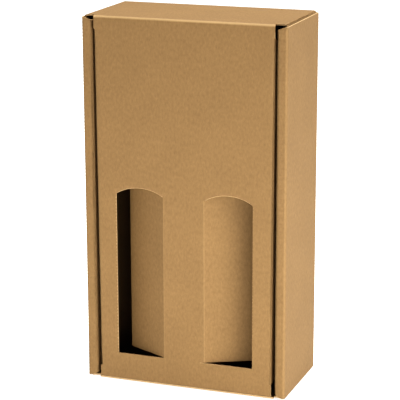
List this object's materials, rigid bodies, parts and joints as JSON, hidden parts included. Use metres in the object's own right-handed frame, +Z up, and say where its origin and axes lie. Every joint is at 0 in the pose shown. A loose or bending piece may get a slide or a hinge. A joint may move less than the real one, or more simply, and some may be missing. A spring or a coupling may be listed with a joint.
{
  "type": "wine gift box",
  "caption": "Upright corrugated gift box for wine bottles, with a hinged front lid, arched windows and flaps that fold in between the bottles.",
  "frame": {"origin": "on the floor, under the middle of the standing box", "axes": "+X to the right seen from the front, +Y to the back, +Z up; the lid faces -Y"},
  "size_m": [0.203, 0.1, 0.36],
  "materials": {
    "kraft_board": "matte uncoated brown kraft liner"
  },
  "bodies": {
    "tray": {"tray": "kraft_board"},
    "lid": {"lid": "kraft_board"},
    "left_flap": {"left_bottle_flap": "kraft_board"},
    "right_flap": {"right_bottle_flap": "kraft_board"}
  },
  "joints": [
    {"name": "lid_hinge", "type": "hinge", "parent": "tray", "child": "lid", "pos_m": [0, -0.04925, 0.35925], "axis": [-1, 0, 0], "range_deg": [0, 180]},
    {"name": "left_flap_hinge", "type": "hinge", "parent": "lid", "child": "left_flap", "pos_m": [-0.0204, -0.04925, 0.11], "axis": [0, 0, -1], "range_deg": [-27, 73]},
    {"name": "right_flap_hinge", "type": "hinge", "parent": "lid", "child": "right_flap", "pos_m": [0.0204, -0.04925, 0.11], "axis": [0, 0, 1], "range_deg": [-27, 73]}
  ]
}
